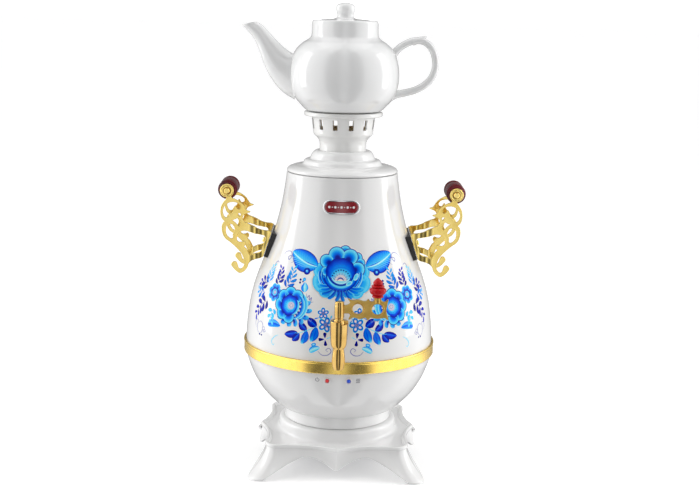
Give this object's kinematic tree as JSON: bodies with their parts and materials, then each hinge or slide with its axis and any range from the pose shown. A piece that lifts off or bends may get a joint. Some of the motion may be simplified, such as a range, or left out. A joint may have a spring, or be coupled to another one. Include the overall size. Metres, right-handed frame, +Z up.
{
  "type": "electric samovar with teapot",
  "caption": "Pear-shaped electric water heater on a footed base, with a front plug tap, side carrying handles and a lid crown that holds a spouted teapot.",
  "frame": {"origin": "centre of the bounding box's underside, on the floor under the rubber feet; the samovar's axis stands 19.6 mm behind it because the tap sticks out in front", "axes": "+Z up along the samovar's axis, -Y to the front with the tap, +X to the right-hand carrying handle and the teapot's handle"},
  "size_m": [0.2792, 0.2596, 0.5241],
  "materials": {
    "white_enamel": "gloss white enamel with blue floral print",
    "white_base_enamel": "gloss white enamel",
    "white_lid_enamel": "gloss white enamel",
    "white_crown": "gloss white enamel",
    "white_porcelain": "clear glazed white porcelain",
    "gold_band": "polished gold plate",
    "gold_plate": "bright gold plate",
    "polished_brass": "polished",
    "cast_brass_lever": "satin gold",
    "stainless_steel": "brushed",
    "chrome_bezel": "polished",
    "dark_red_enamel": "gloss enamel, left blank",
    "red_gloss_knob": "gloss",
    "maroon_gloss_grip": "gloss",
    "black_rubber": "matt",
    "black_insulator": "matt heat-proof moulding",
    "white_silicone": "matt",
    "black_plastic": "fine grain",
    "green_board": "solder mask",
    "red_lens": "clear red",
    "blue_lens": "clear blue",
    "pale_bezel": "satin"
  },
  "bodies": {
    "samovar": {"tank_shell": "white_enamel", "lower_bowl": "white_enamel", "base_collar": "white_base_enamel", "base_stand": "white_base_enamel", "gold_band": "gold_band", "handle_plate_left_front": "gold_plate", "handle_plate_left_rear": "gold_plate", "handle_plate_right_front": "gold_plate", "handle_plate_right_rear": "gold_plate", "handle_strip_left": "gold_plate", "handle_strip_right": "gold_plate", "handle_screw_left": "gold_plate", "handle_screw_right": "gold_plate", "grip_rod_left": "gold_plate", "grip_rod_right": "gold_plate", "tap_body": "polished_brass", "tap_nut": "polished_brass", "inlet_pin_line": "polished_brass", "inlet_pin_neutral": "polished_brass", "inlet_pin_earth": "polished_brass", "heater_plate": "stainless_steel", "heating_element": "stainless_steel", "bottom_cover": "stainless_steel", "cover_screw_front_left": "stainless_steel", "cover_screw_front_right": "stainless_steel", "cover_screw_rear_left": "stainless_steel", "cover_screw_rear_right": "stainless_steel", "badge_bezel": "chrome_bezel", "badge_plate": "dark_red_enamel", "grip_left": "maroon_gloss_grip", "grip_right": "maroon_gloss_grip", "foot_pad_front_left": "black_rubber", "foot_pad_front_right": "black_rubber", "foot_pad_rear_left": "black_rubber", "foot_pad_rear_right": "black_rubber", "tap_gasket": "black_rubber", "handle_pad_left": "black_insulator", "handle_pad_right": "black_insulator", "thermostat": "black_insulator", "heater_seal": "white_silicone", "inlet_housing": "black_plastic", "switch_frame": "black_plastic", "control_board": "green_board", "power_led": "red_lens", "keep_warm_led": "blue_lens", "power_led_bezel": "pale_bezel", "keep_warm_led_bezel": "pale_bezel"},
    "lid": {"tank_lid": "white_lid_enamel", "lid_seal": "white_silicone", "crown_neck": "white_crown", "teapot_crown": "white_crown", "crown_nut": "stainless_steel"},
    "teapot": {"teapot_body": "white_porcelain", "teapot_spout": "white_porcelain", "teapot_handle": "white_porcelain"},
    "pot_lid": {"teapot_lid": "white_porcelain"},
    "tap_key": {"tap_plug": "polished_brass", "tap_lever": "cast_brass_lever", "tap_knob": "red_gloss_knob"},
    "switch": {"switch_rocker": "black_plastic"}
  },
  "joints": [
    {"name": "lid_lift", "type": "slide", "parent": "samovar", "child": "lid", "axis": [0, 0, 1], "range_m": [0, 0.06]},
    {"name": "teapot_lift", "type": "slide", "parent": "lid", "child": "teapot", "axis": [0, 0, 1], "range_m": [0, 0.06]},
    {"name": "pot_lid_lift", "type": "slide", "parent": "teapot", "child": "pot_lid", "axis": [0, 0, 1], "range_m": [0, 0.05]},
    {"name": "tap_turn", "type": "hinge", "parent": "samovar", "child": "tap_key", "pos_m": [0, -0.12037, 0.198], "axis": [0, 0, 1], "range_deg": [-90, 0]},
    {"name": "switch_rock", "type": "hinge", "parent": "samovar", "child": "switch", "pos_m": [0.017, 0.11762, 0.096], "axis": [1, 0, 0], "range_deg": [0, 14]}
  ]
}
